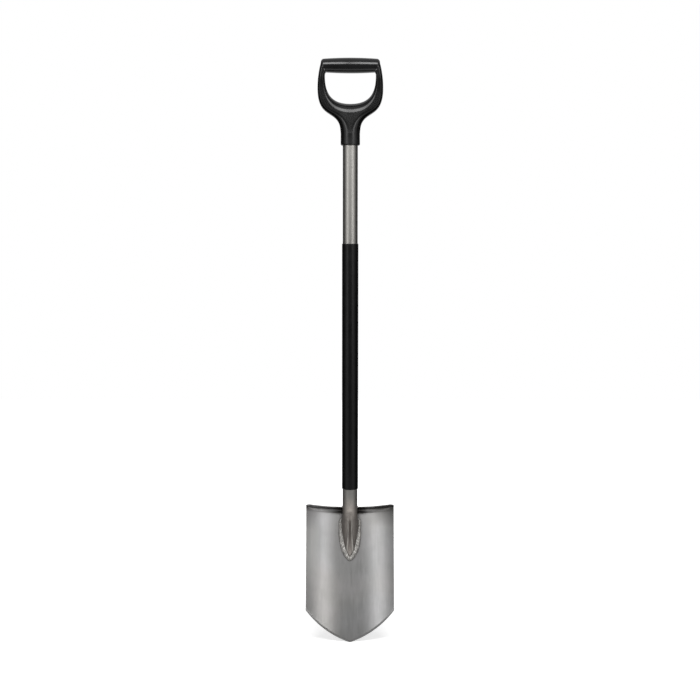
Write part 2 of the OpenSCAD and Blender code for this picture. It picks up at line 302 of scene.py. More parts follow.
ON_BLADE = Matrix.Scale(MM, 4) @ shift(0, blade_y, blade_z) @ turn_x(-blade_tilt)
ON_SHAFT = ON_BLADE @ shift(0, bend_y, -tongue_drop) @ turn_x(lift) @ shift(0, bend_r, 0)
ON_HANDLE = ON_SHAFT @ shift(0, 0, shaft_l)


# Formulas that the pieces share, for numbers and for arrays

def part(a, b, x):
    """How far x has come on its way from a to b, from 0 to 1."""
    return np.clip((x - a) / (b - a), 0, 1)


def smooth(a, b, x):
    """The same with a gentle start and end."""
    t = part(a, b, x)
    return t * t * (3 - 2 * t)


def mix(a, b, t):
    """A value between a and b."""
    return a + (b - a) * t


def steps(start, end, count):
    """Even steps from a start to an end, without the start itself."""
    return np.linspace(start, end, count + 1)[1:]


def turns(count):
    """Even turns round a circle, in radians."""
    return 2 * np.pi * np.arange(count) / count


def ring(radius, z, a):
    """Points round the Z axis at the turns given."""
    return np.stack([radius * np.cos(a), radius * np.sin(a), z + 0 * a], -1)


def bezier(corners, t):
    """Points of the curve that four corners give, at shares t of its way."""
    t = np.asarray(t, float)[..., None]
    a, b, c, d = np.array(corners, float)
    return (1 - t) ** 3 * a + 3 * t * (1 - t) ** 2 * b + 3 * t**2 * (1 - t) * c + t**3 * d


def run_along(points):
    """Distance of each point of a line from its first point, measured along the line."""
    lengths = np.linalg.norm(np.diff(points, axis=0), axis=-1)
    return np.concatenate([0 * lengths[:1], np.cumsum(lengths, 0)])


def dish(x):
    """Height of the blade's hollow face over its middle, at a distance x from it."""
    return dish_r - np.sqrt(dish_r**2 - x * x)


# Meshes

def grid_faces(rows, cols, closed=False):
    """Quads between the points of a grid stored row by row; closed joins its last column to its first."""
    row = np.arange(rows - 1)[:, None] * cols
    col = np.arange(cols if closed else cols - 1)[None, :]
    after = (col + 1) % cols
    corners = [row + col, row + after, row + cols + after, row + cols + col]
    return np.stack(corners, -1).reshape(-1, 4).tolist()


def sheet_faces(rows, cols):
    """Faces of a sheet: a grid for its hollow side, one for its back, and a strip round both."""
    hollow = [face[::-1] for face in grid_faces(rows, cols)]
    count = rows * cols
    back = [[i + count for i in face[::-1]] for face in hollow]
    index = np.arange(count).reshape(rows, cols)
    rim = np.concatenate([index[0, :-1], index[:-1, -1], index[-1, :0:-1], index[:0:-1, 0]])
    strip = [[int(i), int(j), int(j + count), int(i + count)] for i, j in zip(rim, np.roll(rim, -1))]
    return hollow + back + strip


def shade_smooth(obj, sharp):
    """Smooth shading that keeps edges sharp above an angle in degrees."""
    obj.data.polygons.foreach_set("use_smooth", [True] * len(obj.data.polygons))
    obj.data.set_sharp_from_angle(angle=math.radians(sharp))
    return obj


def new_object(name, data):
    """An object with the mesh, lamp or camera given, in the scene."""
    obj = bpy.data.objects.new(name, data)
    bpy.context.scene.collection.objects.link(obj)
    return obj


def piece(name, points, faces, matrix, sharp=plain_sharp):
    """A closed mesh whose points are moved from the frame of the piece to the row frame."""
    points = np.asarray(points, float).reshape(-1, 3)
    world = points @ np.array(matrix.to_3x3()).T + np.array(matrix.translation)
    mesh = bpy.data.meshes.new(name)
    mesh.from_pydata(world.tolist(), [], faces)
    work = bmesh.new()
    work.from_mesh(mesh)
    bmesh.ops.remove_doubles(work, verts=work.verts, dist=1e-7)
    bmesh.ops.recalc_face_normals(work, faces=work.faces)
    work.to_mesh(mesh)
    work.free()
    return shade_smooth(new_object(name, mesh), sharp)


def loft(name, rings, matrix, sharp=plain_sharp):
    """A closed solid through rings of points, each with as many points, with flat ends."""
    rings = np.asarray(rings, float)
    rows, cols = rings.shape[:2]
    faces = grid_faces(rows, cols, closed=True)
    faces.append(list(range(cols))[::-1])
    faces.append(list(range((rows - 1) * cols, rows * cols)))
    return piece(name, rings, faces, matrix, sharp)


def rod(name, profile, matrix, sides):
    """A solid round Z through rings given by their radius and height."""
    return loft(name, [ring(radius, z, turns(sides)) for radius, z in profile], matrix)


def revolve(name, profile, sides, matrix):
    """A ring-shaped solid: a closed profile of radius and height turned about Z."""
    rings = np.array([ring(radius, z, turns(sides)) for radius, z in profile + profile[:1]])
    return piece(name, rings, grid_faces(len(rings), sides, closed=True), matrix)


def with_modifiers(obj, *modifiers):
    """Applies modifiers, each a type with its settings, and leaves a plain mesh."""
    for kind, settings in modifiers:
        made = obj.modifiers.new(kind, kind)
        for key, value in settings.items():
            setattr(made, key, value)
    bpy.context.view_layer.update()
    shown = obj.evaluated_get(bpy.context.evaluated_depsgraph_get())
    mesh = bpy.data.meshes.new_from_object(shown)
    obj.modifiers.clear()
    obj.data = mesh


def cut(obj, *cutters):
    """Takes closed solids out of a piece."""
    for cutter in cutters:
        with_modifiers(obj, ("BOOLEAN", {"object": cutter, "operation": "DIFFERENCE", "solver": "EXACT"}))
        bpy.data.objects.remove(cutter)


def joined(name, parts):
    """One object in place of several, whose meshes it holds side by side."""
    work = bmesh.new()
    for obj in parts:
        work.from_mesh(obj.data)
        bpy.data.objects.remove(obj)
    mesh = bpy.data.meshes.new(name)
    work.to_mesh(mesh)
    work.free()
    return new_object(name, mesh)


def dress(obj, material, node):
    """Gives a piece its material, and its place in the frame."""
    obj.data.materials.clear()
    obj.data.materials.append(material)
    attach(obj, "root")
    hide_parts(node)


# The blade

def point_outline(x):
    """Height of the cutting edge at a distance x from the middle: two arcs that meet in a rounded point."""
    half = shoulder_w / 2
    angle = math.atan2(point_h, half) - math.asin(math.hypot(half, point_h) / 2 / point_r)
    centre = -point_r * math.sin(angle)

    def rise(x):
        return math.sqrt(point_r**2 - centre**2) - np.sqrt(point_r**2 - (x - centre) ** 2)

    return rise(np.sqrt(x * x + tip_round**2)) - rise(tip_round) - blade_l


def blade_columns():
    """Shares of the blade's half width where it has columns of points, closer together at the sides."""
    corner = side_strip / (blade_w / 2)
    near = 1 - corner + corner * np.sin(np.linspace(0, np.pi / 2, side_columns))
    half = np.concatenate([np.linspace(0, 1 - corner, middle_columns)[:-1], near])
    return np.concatenate([-half[:0:-1], half])


def side_at(z):
    """Half width of the blade at a height in its frame."""
    return mix(blade_w / 2, shoulder_w / 2, part(0, point_h - blade_l, z))


def blade_middle():
    """The middle of the sheet as a grid, from the front of the tread over the fold to the cutting edge,
    and the distance from that edge of its last rows, which the bevel grinds. The fold is drawn tight
    towards the blade's sides."""
    share = blade_columns()
    edge_x = share * shoulder_w / 2
    low = point_outline(edge_x)
    slant = np.sqrt(1 + np.gradient(low, edge_x) ** 2)
    fine = round_steps * edge_round
    fold = mix(side_fold_r, fold_r, np.clip((1 - np.abs(share)) * blade_w / 2 / fold_taper, 0, 1))
    middle_r = fold + sheet_t / 2
    cutting = fine[:0:-1] * cutting_stretch
    ground = np.concatenate([[bevel_w + bevel_lead], bevel_w * bevel_steps, cutting, [0]])
    rows = [(dish_r - tread_w + d, -sheet_t / 2) for d in fine]
    rows += [(dish_r - tread_w + mix(edge_round, tread_w - fold, way), -sheet_t / 2)
             for way in steps(0, 1, tread_rows)]
    flat_rows = len(rows)
    rows += [(dish_r - fold + middle_r * math.sin(a), -sheet_t - fold + middle_r * math.cos(a))
             for a in steps(0, np.pi / 2, fold_rows)]
    rows += [(dish_r + sheet_t / 2, mix(-sheet_t - fold, low + ground[0] * slant, way))
             for way in steps(0, 1, face_rows)]
    rows += [(dish_r + sheet_t / 2, low + d * slant) for d in ground[1:]]
    points = []
    for radius, z in rows:
        x = share * side_at(z)
        points.append(np.stack([x, -dish_r + np.sqrt(radius**2 - x * x), z + 0 * x], -1))
    points = np.array(points)
    round_tread_corners(points, flat_rows)
    return points, ground


def round_tread_corners(points, rows):
    """Rounds the outer front corner of each tread, seen from above."""
    x = np.abs(points[0, :, 0])
    from_x = blade_w / 2 - tread_corner_r
    from_y = -dish_depth - tread_w + tread_corner_r
    arc = from_y - np.sqrt(np.clip(tread_corner_r**2 - (x - from_x) ** 2, 0, None))
    front, back = points[0, :, 1].copy(), points[rows - 1, :, 1].copy()
    new_front = np.where(x > from_x, np.clip(arc, front, back - least_tread), front)
    points[:rows, :, 1] = back - (back - points[:rows, :, 1]) * (back - new_front) / (back - front)


def grid_normals(grid):
    """Directions straight out of a grid of points."""
    out = np.cross(np.gradient(grid, axis=0), np.gradient(grid, axis=1))
    return out / np.maximum(np.linalg.norm(out, axis=-1, keepdims=True), TINY)


def from_edges(grid):
    """Distance of each point of a grid to the nearest of the grid's edges, along its rows and columns."""
    down, across = run_along(grid), run_along(grid.transpose(1, 0, 2)).T
    return np.minimum.reduce([down, down[-1] - down, across, across[:, -1:] - across])


def tube_place(z):
    """Where the tube's axis lies in front of the blade's face, at a height in the blade's frame."""
    return bend_y + np.sqrt(bend_r**2 - (z + tongue_drop) ** 2)


def notch_cutter(radius, back):
    """The room round the tube where it passes the treads, from the front back to the depth given."""
    a = turns(tube_sides)
    rings = []
    for z in np.linspace(-fold_drop, sheet_t, notch_rings):
        y = tube_place(z) + radius * np.sin(a) / slant_at_treads
        rings.append(np.stack([radius * np.cos(a), np.minimum(y, back), z + 0 * a], -1))
    return loft("notch", rings, ON_BLADE)


def blade():
    """The sheet's middle thickened to both sides, with rounded edges, a bevel ground on the hollow side
    of its cutting edge, and notches for the tube in its treads."""
    middle, ground = blade_middle()
    out = grid_normals(middle)
    inset = np.clip(from_edges(middle), 0, edge_round)
    half = sheet_t / 2 - edge_round + np.sqrt(edge_round**2 - (edge_round - inset) ** 2)
    taken = np.zeros(len(middle))
    taken[-len(ground):] = np.clip(1 - ground / bevel_w, 0, 1) * bevel_depth
    hollow_half = np.maximum(half - taken[:, None], -bevel_limit * half)
    both = np.stack([middle + out * hollow_half[..., None], middle - out * half[..., None]])
    limit = side_at(both[..., 2])
    both[..., 0] = np.clip(both[..., 0], -limit, limit)
    obj = piece("pressed_blade", both, sheet_faces(*middle.shape[:2]), ON_BLADE)
    cut(obj, notch_cutter(tube_r + tread_gap, sheet_t), notch_cutter(tube_r + notch_w, -fold_r))
    return shade_smooth(obj, blade_sharp)


# The tube and its tongue, by the distance s down the tongue

ring_angle = -turns(tube_sides)


def tongue_half(s):
    """Half width of the tongue."""
    left_over = np.maximum(side_least, 1 - part(foot_from, tongue_l, s) ** side_power)
    return np.minimum(mix(tube_r, tongue_w / 2, smooth(0, foot_to, s)), tongue_w / 2 * left_over**side_root)


def tongue_height(s):
    """Height of the tongue's crown over the blade, without its groove and ridges."""
    return tongue_t + (tube_d - tongue_t) * np.clip(1 - s / tongue_l, 0, 1) ** thinning


def groove(s, x):
    """Depth of the groove, which is pressed into the tongue's crown."""
    depth = np.minimum(groove_depth * smooth(0, groove_to, s), groove_most * tongue_height(s))
    width = mix(*groove_w, smooth(*groove_widens, s / tongue_l))
    return depth * np.exp(-((x / width) ** 2))


def ridges(s, x):
    """Height of two narrow ridges, one on each side of the groove, which part towards the tongue's tip."""
    apart = mix(*ridge_apart, smooth(*ridges_part, s / tongue_l))
    high = ridge_h * smooth(*ridge_rise, s) * (1 - smooth(*ridges_end, s / tongue_l))
    return high * np.exp(-(((np.abs(x) - apart) / ridge_w) ** 2))


def tongue_ring(s):
    """The outline of the tongue across it, which goes over from the tube's circle to a flat pressing."""
    low = mix(edge_h, tube_r, 1 - smooth(0, edge_to, s))
    x = tongue_half(s) * np.cos(ring_angle)
    up = np.maximum(np.sin(ring_angle), 0)
    power = mix(1, crown_power, smooth(*crown_in, s)) - (crown_power - 1) * smooth(*crown_out, s)
    crown = (tongue_height(s) - low) * up**power
    pressed = (ridges(s, x) - groove(s, x)) * np.minimum(1, press_fade * up)
    y = low + crown + pressed + low * np.minimum(np.sin(ring_angle), 0)
    rise = dish(x) * smooth(0, foot_from, s)
    return np.stack([x, -(y + rise + seat_gap), -tongue_drop - s + 0 * x], -1)


def tube_rings(radius, length):
    """Rings up the bend, and then along the shaft to the length given."""
    rings = []
    for turn in np.radians(np.linspace(0, lift, bend_rings)):
        out = bend_r - radius * np.sin(ring_angle)
        rings.append(np.stack([radius * np.cos(ring_angle), bend_y + out * math.cos(turn),
                               -tongue_drop + out * math.sin(turn)], -1))
    along = np.array([0, -math.sin(math.radians(lift)), math.cos(math.radians(lift))])
    return rings + [rings[-1] + along * height for height in steps(0, length, straight_rings)]


def shaft_tube():
    """The tube from its tongue's tip to its open top, with a bore down to the upper end of the bend."""
    down = tongue_l * (1 - (1 - steps(0, 1, tongue_rows)) ** tip_crowding)
    outside = [tongue_ring(s) for s in down[::-1]] + tube_rings(tube_r, tube_l)
    bore = tube_rings(tube_r - tube_wall, tube_l)[::-1][:straight_rings + 1]
    return loft("bent_tube", outside + bore, ON_BLADE, round_sharp)


# The welds, each made for a side: -1 for the left hand and 1 for the right

def wave(run, size, pace, start):
    """A wave along a run of weld, with its size, its radians a millimetre and where it starts."""
    return size * np.sin(run * pace + start)


def tongue_weld(hand, side):
    """One run down an edge of the tongue, between the tongue's foot and an outline that runs straight
    down and then closes round the tip, with the scales and lumps of a weld laid by hand."""
    t = np.linspace(0, 1, weld_points)
    closing = np.pi / 2 * part(weld_straight, 1, t)
    tip = tongue_l + weld_nose
    outer = np.stack([weld_w / 2 * np.maximum(np.cos(closing), 0) ** weld_power,
                      np.where(t < weld_straight, mix(weld_from, weld_turn, t / weld_straight),
                               mix(weld_turn, tip, np.sin(closing)))], -1)
    s = outer[:, 1] * tongue_l / tip
    inner = np.stack([(tongue_half(s) + 2 * seat_gap) * (1 - smooth(*weld_tip, t)),
                      s + 2 * seat_gap * smooth(*weld_close, t)], -1)
    begin = smooth(*weld_start, t)
    outer = mix(inner, outer, mix(start_width, 1, begin)[:, None])
    run = run_along(outer)
    lumps = 1 + wave(run, *slow_lump, side) + wave(run, *quick_lump, 2 * side)
    wander = wave(run, *weld_wander, 3 * side) * begin * np.cos(closing)
    high = weld_h * lumps * mix(start_height, 1, begin)
    rows = []
    for a in np.linspace(0, np.pi, weld_sections):
        swell = math.sin(max(a, weld_lap)) if a > 0 else 0
        across, down = mix(inner, outer, 0.5 - 0.5 * math.cos(a)).T
        x = np.maximum(across + wander * math.sin(a), weld_meet * math.sin(a))
        scales = 1 + scale_depth * (np.abs(wave(run, 1, scale_pace, scale_lean * math.cos(a) + side)) - 0.5)
        rise = dish(x) + weld_seat + high * scales * swell
        rows.append(np.stack([side * x, -rise, -tongue_drop - down], -1))
    return loft(f"tongue_bead_{hand}", np.array(rows).transpose(1, 0, 2), ON_BLADE, round_sharp)


def tread_weld(hand, side):
    """A fillet that fills a notch between the tube and a tread's inner end, and rises towards the tube."""
    width = notch_w - 2 * weld_gap
    crown = [(share, height * crown_h) for share, height in tread_crown]
    section = np.array([(0, -sheet_t), (0, 0), *crown, (1, -sheet_t)])
    rings = []
    for a in np.radians(np.linspace(*tread_weld_turn, tread_weld_rings)):
        lump = 1 + abs(wave(a * tube_r, *tread_lump, side))
        z = np.where(section[:, 1] > 0, section[:, 1] * lump, section[:, 1])
        radius = tube_r + weld_gap + section[:, 0] * width
        y = tube_place(z) + radius * math.sin(a) / slant_at_treads
        rings.append(np.stack([side * radius * math.cos(a), y, z], -1))
    return loft(f"tread_bead_{hand}", rings, ON_BLADE, round_sharp)


# The sleeve

def shaft_sleeve():
    """A plain sleeve on the tube, with rounded ends."""
    inner = tube_r + seat_gap
    a = np.linspace(0, np.pi / 2, sleeve_steps)
    low = [(sleeve_r - sleeve_round * (1 - math.sin(t)), sleeve_round * (1 - math.cos(t))) for t in a]
    high = [(r, sleeve_l - z) for r, z in low[::-1]]
    return revolve("grip_sleeve", [(inner, 0)] + low + high + [(inner, sleeve_l)], sleeve_sides, ON_SHAFT)


# The handle, made of spokes: t goes from 0 at the bar round one side to 1 at the middle below

def above_or_below(t, upper, lower):
    """The points of an upper curve for spokes above top_share, and of a lower one for the others."""
    return np.where((t < top_share)[:, None], upper, lower)


def spoke_in(t):
    """Where a spoke starts, on the edge of the opening."""
    upper = bezier(inner_top, part(0, top_share, t))
    return above_or_below(t, upper, bezier(inner_bottom, part(top_share, 1, t)))


def spoke_crease(t):
    """Where a spoke crosses the crease round the opening."""
    return above_or_below(t, spoke_in(t) + [rim_w, 0], bezier(crease_bottom, part(top_share, 1, t)))


def spoke_out(t):
    """Where a spoke ends, on the outline of the handle or on the neck's lower end."""
    upper = bezier(outer_top, part(0, top_share, t))
    lower = bezier(outer_bottom, part(top_share, neck_from, t))
    bottom = np.stack([neck_r * (1 - part(neck_from, 1, t)), -neck_h + 0 * t], -1)
    return above_or_below(t, upper, np.where((t < neck_from)[:, None], lower, bottom))


def nearest(points, line):
    """Distance of each point to the nearest point of a line of points."""
    return np.sqrt(((points[..., None, :] - line) ** 2).sum(-1).min(-1))


def quarter(share):
    """Height of a quarter circle over a share of its radius."""
    return np.sqrt(np.clip(1 - (1 - np.minimum(share, 1)) ** 2, 0, 1))


def handle_body():
    """The flat-faced arms and neck, as a sheet of points seen from the front and mirrored to the back. Its
    half depth falls off round the outline, and in a hollow from a crease down to the opening's edge."""
    t = np.linspace(0, 1, spokes)
    palm = smooth(palm_from, neck_from, t)[:, None]
    edge, crease, rim = (line(t)[:, None] for line in (spoke_in, spoke_crease, spoke_out))
    turn = np.linspace(0, np.pi / 2, spoke_points)[:, None]
    seen = np.concatenate([mix(edge, crease, 1 - np.cos(turn)), mix(crease, rim, np.sin(turn[1:]))], 1)
    to_crease = np.concatenate([1 - np.cos(turn), 0 * turn[1:] + 1])[:, 0]
    x, z = seen[..., 0], seen[..., 1]
    fine = np.linspace(0, 1, outline_points)
    below = [[neck_r, -neck_h - d] for d in outline_below]
    outline = np.concatenate([spoke_out(fine[fine < neck_from]), below])
    down = part(flat_to, -neck_h, z)
    swell = (down - swell_start * (1 - np.exp(-down / swell_start))) / (1 - swell_start)
    face = mix(arm_depth / 2, neck_r, swell)
    side = face * quarter(nearest(seen, outline) / mix(edge_r, neck_r, smooth(round_from, -neck_h, z)))
    gentle = 1 - palm_slope * (1 - to_crease) - (1 - palm_slope) * (1 - to_crease) ** palm_turn
    hollow = face * mix(quarter(to_crease), gentle, palm)
    depth = np.maximum(edge_half, np.minimum(hollow, side))
    front = np.stack([x, -depth, z], -1)
    back = np.stack([x, depth, z], -1)
    right = np.concatenate([front, back[:, ::-1]], 1)
    left = right[-2::-1] * [-1, 1, 1]
    return loft("handle_body", np.concatenate([right, left]), ON_HANDLE)


def grip_bar():
    """A bar along X that swells towards its middle, with rounded ends."""
    bar_half = handle_w / 2 - bar_inset
    bulge = (bar_d - bar_end_d) / 2
    reach = bar_half - bar_round
    curve = (reach**2 + bulge**2) / (2 * bulge)
    middle = np.linspace(-reach, reach, bar_points)[1:-1]
    turn = np.linspace(0, np.pi / 2, bar_end_points)
    end = bar_half - bar_round * (1 - np.cos(turn))
    end_r = bar_end_d / 2 - bar_round + bar_round * np.sin(turn)
    x = np.concatenate([-end, middle, end[::-1]])[:, None]
    r = np.concatenate([end_r, bar_d / 2 - curve + np.sqrt(curve**2 - middle**2), end_r[::-1]])[:, None]
    a = turns(bar_sides)
    return loft("grip_bar", np.stack([x + 0 * a, r * np.cos(a), r * np.sin(a)], -1), ON_HANDLE)


def d_handle():
    """Arms, bar and socket run together into one moulding, bored for the tube and for the screw."""
    low = -neck_h - socket_l
    socket_profile = ((socket_r - socket_chamfer, low), (socket_r, low + socket_chamfer),
                      (socket_r, -neck_h + socket_lap))
    socket = rod("socket", socket_profile, ON_HANDLE, socket_sides)
    obj = joined("moulded_handle", [handle_body(), grip_bar(), socket])
    with_modifiers(obj, ("REMESH", {"mode": "VOXEL", "voxel_size": handle_voxel * MM}),
                   ("SMOOTH", {"factor": smooth_factor, "iterations": smooth_passes}))
    bore_r = tube_r + socket_gap
    bore_profile = ((bore_r, low - cut_past), (bore_r, -neck_h + tube_inset + cut_past))
    bore = rod("bore", bore_profile, ON_HANDLE, socket_sides)
    at_screw = ON_HANDLE @ shift(0, 0, -neck_h - socket_l / 2) @ turn_x(-90)
    seat = socket_r - screw_head_h - head_room
    hole_r = screw_d / 2 + seat_gap
    sink_r = screw_d + 2 * seat_gap
    hole = rod("hole", ((hole_r, 0), (hole_r, seat + cut_past)), at_screw, hole_sides)
    sink = rod("sink", ((sink_r, seat), (sink_r, seat + sink_reach)), at_screw, sink_sides)
    cut(obj, bore, hole, sink)
    return shade_smooth(obj, round_sharp)


# Materials, all worked out from places in metres in the row frame. Distances aside are measured from the
# middle, to the right of someone who looks at the spade's front, and heights from the hanging point

# Ranges of a noise's value over which a change that follows it takes place
narrow = (0.35, 0.65)
wide = (0.3, 0.7)

# Rays that look out from each place for how shut in it is, for the painted shade in corners
corner_samples = 8

# The blade's tones and tints, the colour of its streaks, and the colours of painted shade in its corners
# and crevices
steel_tones = ((0.168, 0.168, 0.163), (0.194, 0.192, 0.19))
steel_tints = ((0.985, 0.99, 1.01), (1.02, 0.995, 0.985))
tint_range = (0.4, 0.6)
tint_share = 0.8
streak_colour = (0.15, 0.15, 0.15)
streak_share = 0.25
corner_shade_colour = (0.035, 0.032, 0.03)
crevice_shade_colour = (0.02, 0.018, 0.016)

# Painted shade in the fold beside the tube, and where it fades
pocket_shade_colour = (0.012, 0.011, 0.01)
pocket_shade_aside = (0.024, 0.040)
pocket_shade_down = (-0.957, -0.953)

# A darker zone of the steel round the tongue, below the painted shade in the fold, which reaches further to
# the left
tongue_dark_colour = (0.055, 0.052, 0.05)
tongue_dark_shift = 0.006
tongue_dark_aside = (0.024, 0.056)
tongue_dark_down = (-1.13, -1.0)
tongue_dark_share = 0.6

# Painted highlight on the upper left of the blade
upper_highlight_colour = (0.275, 0.273, 0.266)
upper_highlight_aside = (-0.084, -0.066)
upper_highlight_from = (-0.985, -0.955)
upper_highlight_to = (-1.12, -1.04)
upper_highlight_share = 0.9

# Painted shade below the right tread
shade_colour = (0.045, 0.044, 0.042)
shade_aside = (0.038, 0.062)
shade_down = (-0.98, -0.945)
shade_share = 0.7

# Painted shade on the hollow side along a line fold_shade_drop_mm below the fold, by the distance from that
# line. It is only on faces that look ahead, and weaker far aside
fold_shade_colour = (0.03, 0.028, 0.027)
fold_shade_drop_mm = 1
fold_shade_off = (0.0006, 0.0024)
fold_shade_aside = (0.05, 0.08)
fold_shade_ahead = (0, 0.3)
fold_shade_share = 0.7
fold_shade_left_over = 0.25

# The tube's coating, and the heights where it is dulled, and browned by the welds' heat
silver_tones = ((0.18, 0.176, 0.166), (0.215, 0.209, 0.197))
brown_tones = ((0.152, 0.139, 0.127), (0.188, 0.173, 0.16))
dull_colour = (0.143, 0.14, 0.132)
# Painted shade for the tube's corners, beside the welds
tube_corner_shade_colour = (0.06, 0.052, 0.046)
dull_down = (-0.87, -0.9)
burn_down = (-0.912, -0.942)
burn_ragged = 0.008

# Painted highlight on the tongue's ridges: where it starts and ends, where the ridges part, and how far it
# reaches from the middle of a ridge
ridge_highlight_colour = (0.29, 0.28, 0.262)
ridge_highlight_from = (-0.958, -0.968)
ridge_highlight_to = (-1.034, -1.044)
part_down = (-0.997, -1.0386)
ridge_highlight_off = (0.0005, 0.0019)
ridge_highlight_share = 0.8
ridge_highlight_patches = (0.3, 0.6, 0.6, 1)

# Welds and screw
weld_tones = ((0.12, 0.116, 0.11), (0.205, 0.199, 0.189))
weld_hollow_shade = (0.06, 0.054, 0.048)
zinc_tones = ((0.5, 0.5, 0.48), (0.55, 0.5, 0.4))

# Plastics: how much bluer the lighter tone is, where the polish by hands ends above the handle's socket,
# and where the handle's shine fades towards its arms, below its bar
plastic_blue = 1.03
polish_down = (-0.118, -0.142)
shine_aside = (0.012, 0.036)
shine_down = (-0.005, -0.015)


def new_material(name, metallic):
    """A material, its node tree and its shader."""
    material = bpy.data.materials.new(name)
    material.use_nodes = True
    shader = material.node_tree.nodes["Principled BSDF"]
    shader.inputs["Metallic"].default_value = metallic
    return material, material.node_tree, shader


def add(tree, kind, inputs=None, **settings):
    """Adds a node, with its settings, and for each input a value or the output that feeds it."""
    made = tree.nodes.new("ShaderNode" + kind)
    for key, value in settings.items():
        setattr(made, key, value)
    for key, value in (inputs or {}).items():
        feed(tree, made.inputs[key], value)
    return made


def feed(tree, socket, value):
    """Sets a socket to a value, or links the output given to it."""
    if isinstance(value, bpy.types.NodeSocket):
        tree.links.new(value, socket)
    else:
        socket.default_value = value


def place(tree, stretch=(1, 1, 1)):
    """Places on the object, drawn out along an axis by a share below 1."""
    at = add(tree, "TexCoord").outputs["Object"]
    return add(tree, "Mapping", {"Vector": at, "Scale": stretch}).outputs["Vector"]


def axis(tree, name):
    """The place on the object along one axis."""
    return add(tree, "SeparateXYZ", {"Vector": place(tree)}).outputs[name]


def maths(tree, operation, *values):
    """The result of an operation on one or two values."""
    return add(tree, "Math", dict(enumerate(values)), operation=operation).outputs[0]


def times(tree, *shares):
    """Several shares multiplied."""
    product = shares[0]
    for share in shares[1:]:
        product = maths(tree, "MULTIPLY", product, share)
    return product


def away_from(tree, value, middle):
    """How far a value is from another, to either side."""
    return maths(tree, "ABSOLUTE", maths(tree, "SUBTRACT", value, middle))


def dot(tree, vector, direction):
    """How far a vector reaches in a direction."""
    return add(tree, "VectorMath", {0: vector, 1: direction}, operation="DOT_PRODUCT").outputs["Value"]


def noise(tree, scale, detail=2.0, stretch=(1, 1, 1)):
    """A noise with the scale given, in patches a metre."""
    inputs = {"Vector": place(tree, stretch), "Scale": scale, "Detail": detail}
    return add(tree, "TexNoise", inputs).outputs["Fac"]


def spread(tree, value, low, high, to_low=0, to_high=1):
    """Maps a range of a value to another range, and stops at its ends."""
    inputs = {"Value": value, "From Min": low, "From Max": high, "To Min": to_low, "To Max": to_high}
    return add(tree, "MapRange", inputs).outputs["Result"]


def blend(tree, share, a, b, how="MIX"):
    """Mixes two colours, each a colour or an output, by a share. A Mix node that mixes colours takes
    them at its inputs 6 and 7 and gives its result at output 2."""
    made = add(tree, "Mix", {"Factor": share}, data_type="RGBA", blend_type=how)
    for socket, value in ((made.inputs[6], a), (made.inputs[7], b)):
        feed(tree, socket, (*value, 1) if isinstance(value, tuple) else value)
    return made.outputs[2]


def mottle(tree, value, tones, span=narrow):
    """Goes from one tone to another as a noise's value passes a range."""
    return blend(tree, spread(tree, value, *span), *tones)


def paint_corner_shade(tree, base, colour, distance, low, high):
    """Lays a colour over the base in corners, as painted shade. How open a place is, looking out to a
    distance, goes from
    0 to 1, and the colour fades between the two values given."""
    open_sky = add(tree, "AmbientOcclusion", {"Distance": distance}, samples=corner_samples).outputs["AO"]
    return blend(tree, spread(tree, open_sky, low, high), colour, base)


def bump(tree, height, distance, normal=None):
    """The normal of a surface raised by a height, on top of another bump or on the plain surface."""
    inputs = {"Height": height, "Distance": distance}
    if normal:
        inputs["Normal"] = normal
    return add(tree, "Bump", inputs).outputs["Normal"]


def finish(tree, shader, colour, roughness, normal):
    """Feeds a shader."""
    for name, value in (("Base Color", colour), ("Roughness", roughness), ("Normal", normal)):
        feed(tree, shader.inputs[name], value)


def fold_shade_line(tree, aside):
    """The share of painted shade along the lower edge of the fold, on the blade's hollow side."""
    up = (0, math.sin(tilt), math.cos(tilt))
    fold_edge = MM * (blade_y * up[1] + blade_z * up[2] - fold_drop - fold_shade_drop_mm)
    off = away_from(tree, dot(tree, place(tree), up), fold_edge)
    ahead = dot(tree, add(tree, "NewGeometry").outputs["Normal"], (0, -1, 0))
    return times(tree, spread(tree, off, *fold_shade_off, fold_shade_share, 0), spread(tree, ahead, *fold_shade_ahead),
                 spread(tree, aside, *fold_shade_aside, 1, fold_shade_left_over))


